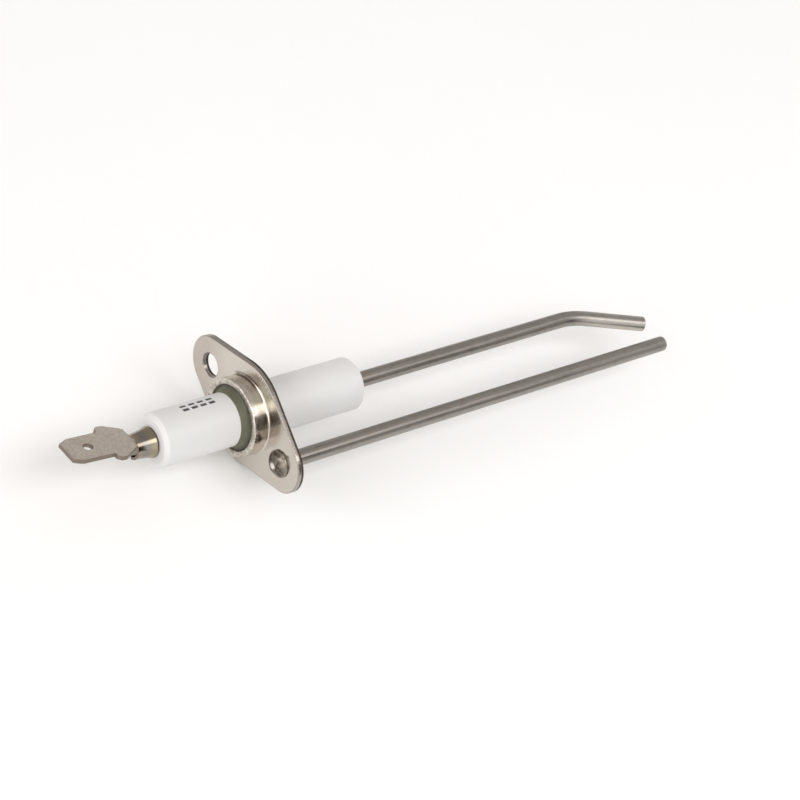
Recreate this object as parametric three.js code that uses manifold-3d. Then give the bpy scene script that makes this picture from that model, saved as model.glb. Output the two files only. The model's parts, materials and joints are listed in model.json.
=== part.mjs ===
// Ignition electrode for a gas burner: a ceramic-insulated spark rod and a bare earth rod on one flange.
//
// Frame: +X runs along the insulator towards the spark tips, +Y from the axis to the open screw hole,
// and +Z square to both. The origin is on the insulator's axis, in the flange's mounting face, which
// looks towards the tips. Lengths are in millimetres and angles in degrees.

import * as THREE from "three";
import { mergeVertices } from "three/addons/utils/BufferGeometryUtils.js";
import Module from "manifold-3d";

const wasm = await Module();
wasm.setup();

// Driving dimensions.
const ROD_RADIUS = 1.5;
const SEAT_GAP = 0.2; // left between pieces that touch in the real object
const PLUG_RECESS = 0.3; // how far the bore's cement lies below the insulator's end faces
const TURNED_GAP = 0.3; // the same, round the terminal, which is turned about the rod

const insulator = {
  radius: 5,
  terminalEnd: -21.4,
  tipEnd: 22.9,
  endChamfer: 0.7,
  boreRadius: 1.9,
  counterboreRadius: 2.6,
  counterboreDepth: 4,
};

const flange = {
  thickness: 1.2,
  holeOffset: 12, // from the axis to the screw hole, and to the earth rod on the other side
  endRadius: 5.55,
  middleRadius: 10.35,
  screwHoleRadius: 2.25,
  collarBoreRadius: 6.15,
  collarHeight: 3.1, // above the plate's front face
  bendRadius: 0.35, // inside radius of the sheet where the collar is drawn up
  lipRound: 0.3,
};

const collarCement = {
  riseOnInsulator: 1.4, // how far the fillet climbs past the collar's lip
  frontEdge: 0.1, // thickness of the fillet where it ends on the insulator
  lipRecess: 0.3,
  rearRecess: 0.9,
};

const spark = {
  start: -25.2,
  bendVertex: 79,
  bendAngle: 23,
  bendRadius: 16,
  tipLength: 16.2, // from the bend's vertex to the cut end
};

const earth = {
  tipEnd: 95,
  tipRound: 0.5,
  headRadius: 2.6,
  headHeight: 1.5,
  headRim: 0.3,
  shoulderRadius: 2.2,
  shoulderLength: 0.9,
};

const terminal = {
  roll: -13.5, // turn of the whole terminal about the rod
  bladePitch: 4, // the blade's rise away from the rod towards its tip
  bladeLength: 8,
  bladeWidth: 6.3,
  thickness: 0.8,
  tipChamferLength: 1.9,
  tipChamferWidth: 0.8,
  detentRadius: 0.85,
  detentFromTip: 4.4,
  shoulderWidth: 9,
  shoulderLength: 1.8,
  shoulderChamfer: 0.7,
  taperLength: 2.8, // over which the shoulders narrow to the neck
  neckWidth: 4.4,
  neckLength: 5.7, // from the stop shoulders to the barrel
  barrelWall: 0.5,
  barrelFront: -25.5,
  flareRadius: 2.9,
  flareLength: 1.3,
  seamWidth: 0.4,
};

// Facet counts.
const RING_SIDES = 64;
const ROD_SIDES = 32;
const BEND_STEPS = 8;
const SMALL_ARC_STEPS = 4;
const OUTLINE_ARC_STEPS = 16;

const radians = THREE.MathUtils.degToRad;
const X = new THREE.Vector3(1, 0, 0);
const Y = new THREE.Vector3(0, 1, 0);
const Z = new THREE.Vector3(0, 0, 1);

// ---------------------------------------------------------------------------------------------
// Shape helpers

// Points of an arc in a profile, from one angle to another about a centre.
function arc(centreX, centreY, radius, from, to, steps = SMALL_ARC_STEPS) {
  return Array.from({ length: steps + 1 }, (_, i) => {
    const angle = radians(from + ((to - from) * i) / steps);
    return new THREE.Vector2(
      centreX + radius * Math.cos(angle),
      centreY + radius * Math.sin(angle),
    );
  });
}

const point = (x, radius) => new THREE.Vector2(x, radius);

// Revolves a profile of (x, radius) points about the X axis. A profile that doesn't start and end
// on the axis closes on itself.
function revolve(profile, sides = RING_SIDES) {
  const loop = profile.map((p) => new THREE.Vector2(p.y, p.x));
  // The faces look out of the solid when the loop runs anticlockwise.
  if (THREE.ShapeUtils.isClockWise(loop)) loop.reverse();
  const onAxis = loop[0].x === 0 && loop.at(-1).x === 0;
  if (!onAxis) loop.push(loop[0].clone());
  return new THREE.LatheGeometry(loop, sides).applyMatrix4(
    new THREE.Matrix4().makeBasis(Z, X, Y),
  );
}

// Extrudes an outline drawn in the YZ plane along X.
function extrudeAlongX(shape, from, to) {
  return new THREE.ExtrudeGeometry(shape, {
    depth: to - from,
    bevelEnabled: false,
    curveSegments: OUTLINE_ARC_STEPS,
  })
    .translate(0, 0, from)
    .applyMatrix4(new THREE.Matrix4().makeBasis(Y, Z, X));
}

function solid(geometry) {
  const bare = geometry.clone();
  bare.deleteAttribute("normal");
  bare.deleteAttribute("uv");
  const merged = mergeVertices(bare, 1e-4);
  return new wasm.Manifold(
    new wasm.Mesh({
      numProp: 3,
      vertProperties: merged.attributes.position.array,
      triVerts: new Uint32Array(merged.index.array),
    }),
  );
}

function geometryOf(manifold) {
  const mesh = manifold.getMesh();
  const geometry = new THREE.BufferGeometry();
  geometry.setAttribute(
    "position",
    new THREE.BufferAttribute(mesh.vertProperties, mesh.numProp),
  );
  geometry.setIndex(new THREE.BufferAttribute(mesh.triVerts, 1));
  geometry.computeVertexNormals();
  return geometry;
}

const part = new THREE.Group();

function addPiece(name, geometry, { color, roughness, metalness }) {
  const material = new THREE.MeshStandardMaterial({
    color,
    roughness,
    metalness,
  });
  const mesh = new THREE.Mesh(geometry, material);
  mesh.name = name;
  part.add(mesh);
  return mesh;
}

// ---------------------------------------------------------------------------------------------
// Finishes

const nickelPlate = { color: 0xc8c0b8, roughness: 0.3, metalness: 1 };
const tinnedSheet = { color: 0xa5988c, roughness: 0.55, metalness: 0.9 };
const rodAlloy = { color: 0x8f8883, roughness: 0.4, metalness: 1 };
const alumina = { color: 0xf4f2ee, roughness: 0.35, metalness: 0 };
const oliveCement = { color: 0x5d6048, roughness: 0.6, metalness: 0 };
const whiteCement = { color: 0xd9d4c8, roughness: 0.9, metalness: 0 };

// ---------------------------------------------------------------------------------------------
// Mounting flange: a rhombic plate with a drawn collar, a screw hole and the earth rod's hole

const plateFront = -flange.thickness;
const collarLip = plateFront - flange.collarHeight;
const collarOuterRadius = flange.collarBoreRadius + flange.thickness;

function plateOutline() {
  const { holeOffset, endRadius, middleRadius } = flange;
  // A straight side leaves both arcs at this angle from the Y axis, because it is tangent to them.
  const tangent = Math.acos((middleRadius - endRadius) / holeOffset);
  const outline = new THREE.Shape();
  outline.absarc(holeOffset, 0, endRadius, -tangent, tangent);
  outline.absarc(0, 0, middleRadius, tangent, Math.PI - tangent);
  outline.absarc(-holeOffset, 0, endRadius, Math.PI - tangent, Math.PI + tangent);
  outline.absarc(0, 0, middleRadius, Math.PI + tangent, 2 * Math.PI - tangent);
  return outline;
}

function roundHole(y, radius) {
  return new THREE.Path().absarc(y, 0, radius, 0, 2 * Math.PI, true);
}

// The sheet bends from the plate into the collar, with one bend centre for its two faces.
function drawnCollar() {
  const { collarBoreRadius, bendRadius, thickness, lipRound } = flange;
  const bendX = plateFront - bendRadius;
  const bendR = collarOuterRadius + bendRadius;
  const overlap = 0.5 * thickness;
  return revolve([
    point(0, bendR + overlap),
    point(plateFront, bendR + overlap),
    ...arc(bendX, bendR, bendRadius, 0, -90),
    ...arc(collarLip + lipRound, collarOuterRadius - lipRound, lipRound, 90, 180),
    ...arc(collarLip + lipRound, collarBoreRadius + lipRound, lipRound, 180, 270),
    ...arc(bendX, bendR, bendRadius + thickness, -90, 0),
  ]);
}

function mountingFlange() {
  const outline = plateOutline();
  outline.holes.push(
    roundHole(flange.holeOffset, flange.screwHoleRadius),
    roundHole(-flange.holeOffset, ROD_RADIUS + SEAT_GAP),
    roundHole(0, collarOuterRadius + flange.bendRadius),
  );
  const plate = extrudeAlongX(outline, plateFront, 0);
  return geometryOf(solid(plate).add(solid(drawnCollar())));
}

addPiece("mounting_flange", mountingFlange(), nickelPlate);

// ---------------------------------------------------------------------------------------------
// Ceramic insulator: a tube with chamfered ends and a counterbore for cement at each end

function ceramicInsulator() {
  const { radius, terminalEnd, tipEnd, endChamfer, boreRadius } = insulator;
  const { counterboreRadius, counterboreDepth } = insulator;
  return revolve([
    point(terminalEnd, counterboreRadius),
    point(terminalEnd + counterboreDepth, counterboreRadius),
    point(terminalEnd + counterboreDepth, boreRadius),
    point(tipEnd - counterboreDepth, boreRadius),
    point(tipEnd - counterboreDepth, counterboreRadius),
    point(tipEnd, counterboreRadius),
    point(tipEnd, radius - endChamfer),
    point(tipEnd - endChamfer, radius),
    point(terminalEnd + endChamfer, radius),
    point(terminalEnd, radius - endChamfer),
  ]);
}

addPiece("ceramic_insulator", ceramicInsulator(), alumina);

// ---------------------------------------------------------------------------------------------
// Cement that holds the insulator in the collar, with a concave fillet in front

function collarCementRing() {
  const { riseOnInsulator, lipRecess, rearRecess, frontEdge } = collarCement;
  const { bendRadius, thickness } = flange;
  const inner = insulator.radius + SEAT_GAP;
  const outer = flange.collarBoreRadius - SEAT_GAP;
  const filletTop = point(collarLip - riseOnInsulator, inner + frontEdge);
  const filletFoot = point(collarLip + lipRecess, outer);
  const hollow = new THREE.QuadraticBezierCurve(
    filletTop,
    point(filletFoot.x, filletTop.y),
    filletFoot,
  );
  // Behind, the cement follows the flare of the sheet's bend as far as the recess.
  const bendX = plateFront - bendRadius;
  const bendR = collarOuterRadius + bendRadius;
  const flareRadius = bendRadius + thickness + SEAT_GAP;
  const rearAngle = THREE.MathUtils.radToDeg(
    Math.asin((-rearRecess - bendX) / flareRadius),
  );
  return revolve([
    point(filletTop.x, inner),
    ...hollow.getPoints(SMALL_ARC_STEPS),
    ...arc(bendX, bendR, flareRadius, -90, rearAngle - 90),
    point(-rearRecess, inner),
  ]);
}

addPiece("collar_cement", collarCementRing(), oliveCement);

// ---------------------------------------------------------------------------------------------
// Cement plugs that hold the spark rod in the insulator's counterbores

function borePlug(from, to) {
  const inner = ROD_RADIUS + SEAT_GAP;
  const outer = insulator.counterboreRadius - SEAT_GAP;
  return revolve(
    [point(from, inner), point(to, inner), point(to, outer), point(from, outer)],
    ROD_SIDES,
  );
}

const plugLength = insulator.counterboreDepth - SEAT_GAP - PLUG_RECESS;

const terminalPlugStart = insulator.terminalEnd + PLUG_RECESS;
addPiece(
  "bore_cement_terminal_end",
  borePlug(terminalPlugStart, terminalPlugStart + plugLength),
  whiteCement,
);

const tipPlugEnd = insulator.tipEnd - PLUG_RECESS;
addPiece(
  "bore_cement_tip_end",
  borePlug(tipPlugEnd - plugLength, tipPlugEnd),
  whiteCement,
);

// ---------------------------------------------------------------------------------------------
// Spark rod: straight through the insulator, then bent towards the earth rod

// The rod's centre line. The parameter takes one step over each straight run and BEND_STEPS round
// the bend, so that a sweep puts its sections where the rod turns.
class SparkRodLine extends THREE.Curve {
  static steps = BEND_STEPS + 2;

  constructor() {
    super();
    const turn = radians(spark.bendAngle);
    const tangentLength = spark.bendRadius * Math.tan(turn / 2);
    this.turn = turn;
    this.outward = new THREE.Vector3(Math.cos(turn), -Math.sin(turn), 0);
    this.start = new THREE.Vector3(spark.start, 0, 0);
    this.vertex = new THREE.Vector3(spark.bendVertex, 0, 0);
    this.bendStart = this.vertex.clone().addScaledVector(X, -tangentLength);
    this.bendEnd = this.vertex.clone().addScaledVector(this.outward, tangentLength);
    this.tip = this.vertex.clone().addScaledVector(this.outward, spark.tipLength);
  }

  getPoint(t, target = new THREE.Vector3()) {
    const step = t * SparkRodLine.steps;
    if (step <= 1) return target.lerpVectors(this.start, this.bendStart, step);
    const lastRun = step - 1 - BEND_STEPS;
    if (lastRun >= 0) return target.lerpVectors(this.bendEnd, this.tip, lastRun);
    const angle = (this.turn * (step - 1)) / BEND_STEPS;
    return target.set(
      this.bendStart.x + spark.bendRadius * Math.sin(angle),
      -spark.bendRadius * (1 - Math.cos(angle)),
      0,
    );
  }

  getPointAt(u, target) {
    return this.getPoint(u, target);
  }

  getTangentAt(u, target) {
    return this.getTangent(u, target);
  }
}

function sparkRod() {
  const section = new THREE.Shape().absarc(0, 0, ROD_RADIUS, 0, 2 * Math.PI);
  return new THREE.ExtrudeGeometry(section, {
    extrudePath: new SparkRodLine(),
    steps: SparkRodLine.steps,
    curveSegments: ROD_SIDES,
  });
}

addPiece("spark_electrode", sparkRod(), rodAlloy);

// ---------------------------------------------------------------------------------------------
// Earth rod: upset behind the flange and staked into a domed head in front of it

function earthRod() {
  const { tipEnd, tipRound, headRadius, headHeight, headRim } = earth;
  const { shoulderRadius, shoulderLength } = earth;
  const headSeat = plateFront - SEAT_GAP;
  const crownHeight = headHeight - headRim;
  const crown = arc(0, 0, 1, 180, 90, 2 * SMALL_ARC_STEPS).map((p) =>
    point(headSeat - headRim + crownHeight * p.x, headRadius * p.y),
  );
  crown[0].y = 0;
  return revolve(
    [
      ...crown,
      point(headSeat, headRadius),
      point(headSeat, ROD_RADIUS),
      point(SEAT_GAP, ROD_RADIUS),
      point(SEAT_GAP, shoulderRadius),
      point(SEAT_GAP + shoulderLength, shoulderRadius),
      point(SEAT_GAP + shoulderLength, ROD_RADIUS),
      ...arc(tipEnd - tipRound, ROD_RADIUS - tipRound, tipRound, 90, 0),
      point(tipEnd, 0),
    ],
    ROD_SIDES,
  );
}

const earthElectrode = addPiece("earth_electrode", earthRod(), rodAlloy);
earthElectrode.position.y = -flange.holeOffset;

// ---------------------------------------------------------------------------------------------
// Tab terminal: a flat male blade with stop shoulders, and a barrel rolled round the rod's end

const barrelBoreRadius = ROD_RADIUS + TURNED_GAP;
const barrelOuterRadius = barrelBoreRadius + terminal.barrelWall;
const barrelRear = insulator.terminalEnd - TURNED_GAP;

// Half of the blade's outline, as (distance from the barrel towards the tip, half width).
function bladeHalfOutline() {
  const { neckWidth, neckLength, taperLength } = terminal;
  const { shoulderWidth, shoulderLength, shoulderChamfer } = terminal;
  const { bladeWidth, bladeLength, tipChamferLength, tipChamferWidth } = terminal;
  const rootInBarrel = -terminal.thickness;
  const shoulderBack = neckLength - shoulderLength;
  const tip = neckLength + bladeLength;
  return [
    point(rootInBarrel, neckWidth / 2),
    point(shoulderBack - taperLength, neckWidth / 2),
    point(shoulderBack, shoulderWidth / 2),
    point(neckLength - shoulderChamfer, shoulderWidth / 2),
    point(neckLength, shoulderWidth / 2 - shoulderChamfer),
    point(neckLength, bladeWidth / 2),
    point(tip - tipChamferLength, bladeWidth / 2),
    point(tip, bladeWidth / 2 - tipChamferWidth),
  ];
}

function blade() {
  const half = bladeHalfOutline();
  const mirrored = half.map((p) => point(p.x, -p.y));
  const outline = new THREE.Shape([...mirrored, ...half.toReversed()]);
  const detentX = terminal.neckLength + terminal.bladeLength - terminal.detentFromTip;
  outline.holes.push(
    new THREE.Path().absarc(detentX, 0, terminal.detentRadius, 0, 2 * Math.PI, true),
  );
  return new THREE.ExtrudeGeometry(outline, {
    depth: terminal.thickness,
    bevelEnabled: false,
    curveSegments: ROD_SIDES / 2,
  })
    .translate(0, 0, -terminal.thickness / 2)
    .rotateZ(Math.PI)
    .rotateY(radians(terminal.bladePitch))
    .translate(terminal.barrelFront, 0, barrelBoreRadius + terminal.barrelWall / 2);
}

function barrel() {
  const { barrelFront, barrelWall, flareRadius, flareLength } = terminal;
  return revolve(
    [
      point(barrelFront, barrelBoreRadius),
      point(barrelRear - flareLength, barrelBoreRadius),
      point(barrelRear, flareRadius - barrelWall),
      point(barrelRear, flareRadius),
      point(barrelRear - flareLength, barrelOuterRadius),
      point(barrelFront, barrelOuterRadius),
    ],
    ROD_SIDES,
  );
}

// The blade's root is trimmed to the barrel's bore, and the barrel is slit along its underside.
function tabTerminal() {
  const { barrelFront, seamWidth, flareRadius } = terminal;
  const barrelLength = barrelRear - barrelFront;
  const barrelMiddle = barrelFront + barrelLength / 2;
  const cutLength = 2 * barrelLength;
  const boreCut = new THREE.CylinderGeometry(
    barrelBoreRadius,
    barrelBoreRadius,
    cutLength,
    ROD_SIDES,
  )
    .rotateZ(Math.PI / 2)
    .translate(barrelMiddle, 0, 0);
  const seamCut = new THREE.BoxGeometry(cutLength, seamWidth, flareRadius).translate(
    barrelMiddle,
    0,
    -(ROD_RADIUS + flareRadius / 2),
  );
  return geometryOf(
    solid(barrel()).add(solid(blade())).subtract(solid(boreCut)).subtract(solid(seamCut)),
  );
}

const tabTerminalMesh = addPiece("tab_terminal", tabTerminal(), tinnedSheet);
tabTerminalMesh.rotation.x = radians(terminal.roll);

export default part;
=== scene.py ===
"""The looks of a gas burner's ignition electrode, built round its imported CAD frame.

Shapes are worked out in millimetres in the frame's axes and stored in metres. +X runs along the
insulator towards the spark tips, and the origin is on its axis, in the flange's mounting face.
"""
import json
import math

import bmesh
import bpy
from mathutils import Euler, Matrix, Vector, noise


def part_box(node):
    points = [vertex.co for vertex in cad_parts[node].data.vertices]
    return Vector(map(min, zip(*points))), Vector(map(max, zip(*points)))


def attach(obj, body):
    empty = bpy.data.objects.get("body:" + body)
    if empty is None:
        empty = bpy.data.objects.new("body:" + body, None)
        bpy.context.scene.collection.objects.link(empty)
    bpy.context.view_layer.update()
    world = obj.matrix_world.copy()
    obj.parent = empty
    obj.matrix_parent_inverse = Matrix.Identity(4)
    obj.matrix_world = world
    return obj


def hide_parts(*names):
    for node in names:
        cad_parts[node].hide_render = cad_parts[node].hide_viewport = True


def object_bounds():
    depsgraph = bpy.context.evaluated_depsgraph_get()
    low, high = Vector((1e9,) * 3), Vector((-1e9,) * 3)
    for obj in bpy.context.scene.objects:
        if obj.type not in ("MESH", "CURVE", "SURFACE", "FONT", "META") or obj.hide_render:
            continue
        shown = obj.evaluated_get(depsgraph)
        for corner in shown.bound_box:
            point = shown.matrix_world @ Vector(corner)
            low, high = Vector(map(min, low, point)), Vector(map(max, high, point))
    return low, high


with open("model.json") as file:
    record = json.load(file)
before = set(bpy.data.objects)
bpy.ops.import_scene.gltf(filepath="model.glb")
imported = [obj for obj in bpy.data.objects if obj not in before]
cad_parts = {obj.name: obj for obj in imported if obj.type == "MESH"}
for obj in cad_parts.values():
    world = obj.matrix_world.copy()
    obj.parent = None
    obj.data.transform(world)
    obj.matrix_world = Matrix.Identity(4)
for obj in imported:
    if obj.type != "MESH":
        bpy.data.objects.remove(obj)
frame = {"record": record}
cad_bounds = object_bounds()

MM = 0.001
TAU = 2 * math.pi


# ---------------------------------------------------------------------------------------------
# Sizes, from the CAD frame


def cad_box(node):
    """Lowest and highest corner of a CAD node, in millimetres."""
    low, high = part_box(node)
    return low / MM, high / MM


def mount(name):
    return next(m for m in frame["record"]["mounts"] if m["name"] == name)


flange_low, flange_high = cad_box("mounting_flange")
ceramic_low, ceramic_high = cad_box("ceramic_insulator")
cement_low, cement_high = cad_box("collar_cement")
earth_low, earth_high = cad_box("earth_electrode")
spark_low, spark_high = cad_box("spark_electrode")
terminal_high = cad_box("tab_terminal")[1]

ROD_RADIUS = spark_high.z
HOLE_OFFSET = -(earth_low.y + earth_high.y) / 2
PLATE_FRONT = mount("screw_head_face")["pos_m"][0] / MM
THICKNESS = -PLATE_FRONT
COLLAR_LIP = flange_low.x
MIDDLE_RADIUS = flange_high.z
END_RADIUS = flange_high.y - HOLE_OFFSET
CERAMIC_RADIUS = ceramic_high.z

SCREW_HOLE_RADIUS = 2.25
COLLAR_BORE_RADIUS = 6.15
COLLAR_OUTER_RADIUS = COLLAR_BORE_RADIUS + THICKNESS
BEND_RADIUS = 0.35  # of the sheet where the collar is drawn up
LIP_ROUND = 0.28
ROLLOVER = 0.22  # soft edge on the side that the punch enters
BURR_EDGE = 0.07  # crisp edge on the other side
EARTH_HOLE_CLEARANCE = 0.05

# ---------------------------------------------------------------------------------------------
# Mesh helpers


class Surface:
    """Points and faces of one piece, in millimetres, with a material number for each face."""

    def __init__(self):
        self.points = []
        self.faces = []
        self.finishes = []

    def ring(self, points):
        start = len(self.points)
        self.points.extend(Vector(p) for p in points)
        return list(range(start, len(self.points)))

    def add_face(self, corners, finish=0):
        self.faces.append(corners)
        self.finishes.append(finish)

    def bridge(self, first, second, finish=0):
        """Adds faces between two closed rings of the same length, or between a ring and a pole."""
        count = max(len(first), len(second))
        for i in range(count):
            j = (i + 1) % count
            if len(first) == 1:
                self.add_face((first[0], second[j], second[i]), finish)
            elif len(second) == 1:
                self.add_face((first[i], first[j], second[0]), finish)
            else:
                self.add_face((first[i], first[j], second[j], second[i]), finish)

    def fill(self, rings):
        """Fills the flat area between an outline and its holes."""
        flat = bmesh.new()
        edges = []
        for ring in rings:
            corners = [flat.verts.new(self.points[i]) for i in ring]
            pairs = zip(corners, corners[1:] + corners[:1])
            edges.extend(flat.edges.new(pair) for pair in pairs)
        flat.verts.index_update()
        owners = [i for ring in rings for i in ring]
        bmesh.ops.triangle_fill(flat, edges=edges, use_beauty=True)
        for face in flat.faces:
            self.add_face([owners[v.index] for v in face.verts])
        flat.free()

    def lathe(self, profile, sides, centre_y=0.0, closed=True, move=None):
        """Revolves (x, radius) points about a line along X.

        move(x, radius, angle) gives the x and radius that a point has instead.
        """
        rings = []
        for x, radius in profile:
            if radius == 0:
                rings.append(self.ring([(x, centre_y, 0)]))
                continue
            ring = []
            for i in range(sides):
                angle = TAU * i / sides
                at_x, at_radius = move(x, radius, angle) if move else (x, radius)
                ring.append(
                    (at_x, centre_y + at_radius * math.cos(angle), at_radius * math.sin(angle))
                )
            rings.append(self.ring(ring))
        followers = rings[1:] + rings[:1] if closed else rings[1:]
        for ring, follower in zip(rings, followers):
            self.bridge(ring, follower)
        return rings


def quadratic(start, control, end, t):
    """A point on a quadratic curve."""
    return start * (1 - t) ** 2 + control * 2 * t * (1 - t) + end * t**2


def rounded(corners, steps=5, closed=True):
    """A profile through corners (x, radius, fillet), each rounded by about its fillet radius."""
    profile = []
    for i, (x, y, fillet) in enumerate(corners):
        here = Vector((x, y))
        if not fillet or (not closed and i in (0, len(corners) - 1)):
            profile.append(here)
            continue
        before = (Vector(corners[i - 1][:2]) - here).normalized()
        after = (Vector(corners[(i + 1) % len(corners)][:2]) - here).normalized()
        reach = fillet / math.tan(before.angle(after) / 2)
        start, end = here + before * reach, here + after * reach
        profile.extend(quadratic(start, here, end, step / steps) for step in range(steps + 1))
    return profile


def arc(centre_x, centre_y, radius, start, end, steps):
    """Points of an arc between two angles in degrees."""
    angles = (math.radians(start + (end - start) * i / steps) for i in range(steps + 1))
    return [
        Vector((centre_x + radius * math.cos(a), centre_y + radius * math.sin(a))) for a in angles
    ]


def smoothstep(low, high, value):
    t = min(max((value - low) / (high - low), 0), 1)
    return t * t * (3 - 2 * t)


SHARP_ANGLE = math.radians(35)


def piece(name, surface, node, looks):
    """Makes the surface an object that stands for a CAD node. Its finishes number the looks."""
    mesh = bpy.data.meshes.new(name)
    mesh.from_pydata([p * MM for p in surface.points], [], surface.faces)
    for polygon, finish in zip(mesh.polygons, surface.finishes):
        polygon.material_index = finish
    for look in looks:
        mesh.materials.append(look)
    outward = bmesh.new()
    outward.from_mesh(mesh)
    bmesh.ops.recalc_face_normals(outward, faces=outward.faces)
    outward.to_mesh(mesh)
    outward.free()
    mesh.shade_smooth()
    mesh.set_sharp_from_angle(angle=SHARP_ANGLE)
    made = bpy.data.objects.new(name, mesh)
    bpy.context.scene.collection.objects.link(made)
    weighted = made.modifiers.new("Flat faces stay flat", "WEIGHTED_NORMAL")
    weighted.keep_sharp = True
    weighted.weight = 100
    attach(made, "root")
    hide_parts(node)


# ---------------------------------------------------------------------------------------------
# Material helpers


class Graph:
    """The shader nodes of a material or of the surroundings."""

    def __init__(self, tree):
        self.nodes = tree.nodes
        self.links = tree.links

    def feed(self, socket, value):
        if isinstance(value, bpy.types.NodeSocket):
            self.links.new(value, socket)
        else:
            socket.default_value = value

    def math(self, operation, first, second=0.0):
        node = self.nodes.new("ShaderNodeMath")
        node.operation = operation
        self.feed(node.inputs[0], first)
        self.feed(node.inputs[1], second)
        return node.outputs["Value"]

    def product(self, first, *others):
        for other in others:
            first = self.math("MULTIPLY", first, other)
        return first

    def spread(self, value, from_low, from_high, to_low=0.0, to_high=1.0):
        """Maps a value smoothly from one range to another, and holds it beyond each end."""
        node = self.nodes.new("ShaderNodeMapRange")
        node.interpolation_type = "SMOOTHSTEP"
        for name, given in (
            ("Value", value),
            ("From Min", from_low),
            ("From Max", from_high),
            ("To Min", to_low),
            ("To Max", to_high),
        ):
            self.feed(node.inputs[name], given)
        return node.outputs["Result"]

    def band(self, value, low, high, soft):
        """1 between low and high, fading to 0 over a width of soft outside them."""
        return self.product(
            self.spread(value, low - soft, low), self.spread(value, high + soft, high)
        )

    def mix(self, amount, first, second):
        """Colour between first and second, by amount from 0 to 1."""
        node = self.nodes.new("ShaderNodeMix")
        node.data_type = "RGBA"
        self.feed(node.inputs["Factor"], amount)
        self.feed(node.inputs["A"], first)
        self.feed(node.inputs["B"], second)
        return node.outputs["Result"]

    def parts(self, vector):
        """X, Y and Z of a vector."""
        node = self.nodes.new("ShaderNodeSeparateXYZ")
        self.links.new(vector, node.inputs["Vector"])
        return [node.outputs[name] for name in "XYZ"]


class Look(Graph):
    """A procedural material: a Principled shader and the textures that drive it."""

    def __init__(self, name, metallic=0.0):
        self.material = bpy.data.materials.new(name)
        self.material.use_nodes = True
        super().__init__(self.material.node_tree)
        self.shader = self.nodes["Principled BSDF"]
        self.shader.inputs["Metallic"].default_value = metallic
        self.place = self.nodes.new("ShaderNodeTexCoord").outputs["Object"]
        self.height = None

    def stretched(self, x, y, z):
        """The place in the object, scaled along each axis."""
        mapping = self.nodes.new("ShaderNodeMapping")
        mapping.inputs["Scale"].default_value = (x, y, z)
        self.links.new(self.place, mapping.inputs["Vector"])
        return mapping.outputs["Vector"]

    def noise(self, scale, detail=2.0, roughness=0.5, place=None):
        """Noise from 0 to 1, with scale in features per metre."""
        texture = self.nodes.new("ShaderNodeTexNoise")
        texture.inputs["Scale"].default_value = scale
        texture.inputs["Detail"].default_value = detail
        texture.inputs["Roughness"].default_value = roughness
        self.links.new(place or self.place, texture.inputs["Vector"])
        return texture.outputs["Fac"]

    def cells(self, scale):
        """Distance to the nearest of scattered points."""
        texture = self.nodes.new("ShaderNodeTexVoronoi")
        texture.inputs["Scale"].default_value = scale
        self.links.new(self.place, texture.inputs["Vector"])
        return texture.outputs["Distance"]

    def place_mm(self):
        """X, Y and Z of the place in the object, in millimetres."""
        return self.parts(self.stretched(1 / MM, 1 / MM, 1 / MM))

    def radius_mm(self, centre_y=0.0):
        """Distance in millimetres from a line along X, which is the insulator's axis by default."""
        _, y, z = self.place_mm()
        y = self.math("SUBTRACT", y, centre_y)
        return self.math("SQRT", self.math("ADD", self.product(y, y), self.product(z, z)))

    def angle_round_axis(self):
        """Degrees round the insulator's axis, from +Y towards +Z."""
        _, y, z = self.place_mm()
        return self.product(self.math("ARCTAN2", z, y), 360 / TAU)

    def colour(self, value):
        self.feed(self.shader.inputs["Base Color"], value)

    def roughness(self, value):
        self.feed(self.shader.inputs["Roughness"], value)

    def relief(self, height, depth):
        """Adds a bump whose full height is depth millimetres."""
        node = self.nodes.new("ShaderNodeBump")
        node.inputs["Distance"].default_value = depth * MM
        self.links.new(height, node.inputs["Height"])
        if self.height:
            self.links.new(self.height, node.inputs["Normal"])
        self.height = node.outputs["Normal"]
        self.links.new(self.height, self.shader.inputs["Normal"])


def rgb(red, green, blue):
    return (red, green, blue, 1.0)


# ---------------------------------------------------------------------------------------------
# Materials

# Where the plating is marked, and where light and shade are painted on it: angles in degrees from
# +Y towards +Z, lengths in millimetres.
DULL_ENDS_Y = ((6, 16), (-8, -15))  # each from where it starts to where it is full
REFLECTED_HIGHLIGHT_ANGLES, REFLECTED_HIGHLIGHT_BAND = (100, 116), (1.0, 2.2)  # painted reflection of the collar's highlight; the band is past the collar's wall
# Painted shade in the bend at the foot of the collar's wall.
BEND_SHADE_ANGLES, BEND_SHADE_BAND = (48, 84), (0.3, 0.8)
# Painted dark reflection on the collar's wall.
WALL_DARK_REFLECTION_ANGLES = (138, 165)
CEMENT_SMEAR_LENGTH = 1.1  # from the collar's lip


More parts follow.
